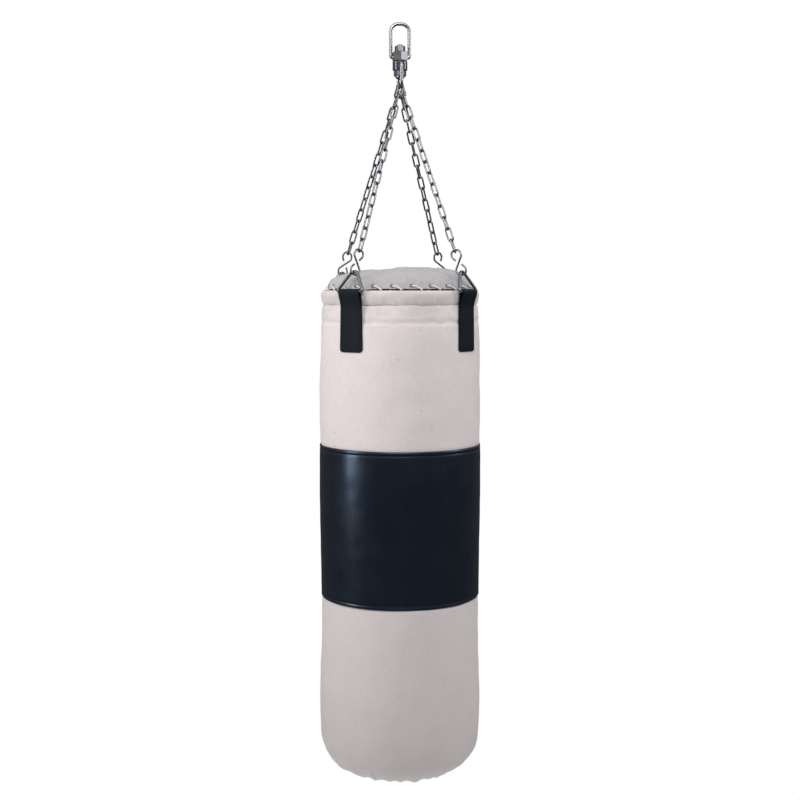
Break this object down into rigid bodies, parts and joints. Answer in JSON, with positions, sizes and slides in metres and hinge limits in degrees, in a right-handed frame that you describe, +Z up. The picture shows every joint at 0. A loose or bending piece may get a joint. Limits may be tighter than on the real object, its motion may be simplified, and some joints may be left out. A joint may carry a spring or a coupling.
{
  "type": "heavy punching bag",
  "caption": "Tall cylindrical canvas punching bag with a black middle band and laced lid, hung by chains, S-hooks and triangle rings from a ball-bearing swivel.",
  "frame": {"origin": "inner crown of the upper bail, where the hanging hook bears", "axes": "+Z up along the bag's axis, -Y the front, +X to the right; the upper bail lies in the XZ plane and the lower bail in the YZ plane"},
  "size_m": [0.3323, 0.3324, 1.541],
  "materials": {
    "bright_steel": "polished",
    "zinc_steel": "satin",
    "dark_steel": "gloss",
    "chain_steel": "satin",
    "canvas": "matte",
    "lid_canvas": "matte",
    "black_vinyl": "gloss",
    "black_webbing": "satin",
    "white_cord": "matte",
    "textile_filling": "matte"
  },
  "bodies": {
    "hanger": {"upper_bail": "bright_steel"},
    "yoke": {"upper_yoke": "zinc_steel", "swivel_bolt": "zinc_steel", "lock_nut": "zinc_steel", "lock_washer": "zinc_steel", "hex_collar": "zinc_steel", "bearing_bottom_race": "zinc_steel", "bearing_balls": "zinc_steel"},
    "housing": {"swivel_housing": "dark_steel", "bearing_top_race": "zinc_steel"},
    "stirrup": {"lower_bail": "bright_steel"},
    "bag": {"upper_panel": "canvas", "middle_band": "black_vinyl", "lower_panel": "canvas", "bottom_panel": "canvas", "rim_hem": "canvas", "lid": "lid_canvas", "lace_cord": "white_cord", "lid_eyelets": "dark_steel", "rim_eyelets": "dark_steel", "filling": "textile_filling", "strap_front_right": "black_webbing", "strap_back_right": "black_webbing", "strap_back_left": "black_webbing", "strap_front_left": "black_webbing"},
    "ring_front_right": {"triangle_ring_front_right": "chain_steel"},
    "chain_front_right": {"chain_front_right": "chain_steel", "s_hook_front_right": "chain_steel"},
    "ring_back_right": {"triangle_ring_back_right": "chain_steel"},
    "chain_back_right": {"chain_back_right": "chain_steel", "s_hook_back_right": "chain_steel"},
    "ring_back_left": {"triangle_ring_back_left": "chain_steel"},
    "chain_back_left": {"chain_back_left": "chain_steel", "s_hook_back_left": "chain_steel"},
    "ring_front_left": {"triangle_ring_front_left": "chain_steel"},
    "chain_front_left": {"chain_front_left": "chain_steel", "s_hook_front_left": "chain_steel"}
  },
  "joints": [
    {"name": "upper_bail_tilt", "type": "hinge", "parent": "hanger", "child": "yoke", "pos_m": [0, 0, -0.0635], "axis": [1, 0, 0], "range_deg": [-35, 35]},
    {"name": "swivel_spin", "type": "hinge", "parent": "yoke", "child": "housing", "pos_m": [0, 0, -0.0802], "axis": [0, 0, 1], "continuous": true},
    {"name": "lower_bail_tilt", "type": "hinge", "parent": "housing", "child": "stirrup", "pos_m": [0, 0, -0.077], "axis": [0, 1, 0], "range_deg": [-35, 35]},
    {"name": "chain_gather_rock", "type": "hinge", "parent": "stirrup", "child": "bag", "pos_m": [0, 0, -0.1214], "axis": [0, 1, 0], "range_deg": [-15, 15]},
    {"name": "chain_sway_front_right", "type": "hinge", "parent": "bag", "child": "chain_front_right", "pos_m": [0, -0.004, -0.1214], "axis": [0.7071, 0.7071, 0], "range_deg": [-0.83, 0.83], "stiffness_Nm_per_rad": 320},
    {"name": "ring_tilt_front_right", "type": "hinge", "parent": "bag", "child": "ring_front_right", "pos_m": [0.11851, -0.11851, -0.536], "axis": [0.7071, 0.7071, 0], "range_deg": [-8.2, 8.2]},
    {"name": "chain_sway_back_right", "type": "hinge", "parent": "bag", "child": "chain_back_right", "pos_m": [0, 0.0088, -0.1214], "axis": [-0.7071, 0.7071, 0], "range_deg": [-0.83, 0.83], "stiffness_Nm_per_rad": 320},
    {"name": "ring_tilt_back_right", "type": "hinge", "parent": "bag", "child": "ring_back_right", "pos_m": [0.11851, 0.11851, -0.536], "axis": [-0.7071, 0.7071, 0], "range_deg": [-8.2, 8.2]},
    {"name": "chain_sway_back_left", "type": "hinge", "parent": "bag", "child": "chain_back_left", "pos_m": [0, 0.004, -0.1214], "axis": [-0.7071, -0.7071, 0], "range_deg": [-0.83, 0.83], "stiffness_Nm_per_rad": 320},
    {"name": "ring_tilt_back_left", "type": "hinge", "parent": "bag", "child": "ring_back_left", "pos_m": [-0.11851, 0.11851, -0.536], "axis": [-0.7071, -0.7071, 0], "range_deg": [-8.2, 8.2]},
    {"name": "chain_sway_front_left", "type": "hinge", "parent": "bag", "child": "chain_front_left", "pos_m": [0, -0.0088, -0.1214], "axis": [0.7071, -0.7071, 0], "range_deg": [-0.83, 0.83], "stiffness_Nm_per_rad": 320},
    {"name": "ring_tilt_front_left", "type": "hinge", "parent": "bag", "child": "ring_front_left", "pos_m": [-0.11851, -0.11851, -0.536], "axis": [0.7071, -0.7071, 0], "range_deg": [-8.2, 8.2]}
  ],
  "couplings": [
    {"joint": "ring_tilt_front_right", "follows": "chain_sway_front_right", "ratio": -9.6227},
    {"joint": "ring_tilt_back_right", "follows": "chain_sway_back_right", "ratio": -9.5941},
    {"joint": "ring_tilt_back_left", "follows": "chain_sway_back_left", "ratio": -9.6227},
    {"joint": "ring_tilt_front_left", "follows": "chain_sway_front_left", "ratio": -9.5941}
  ]
}
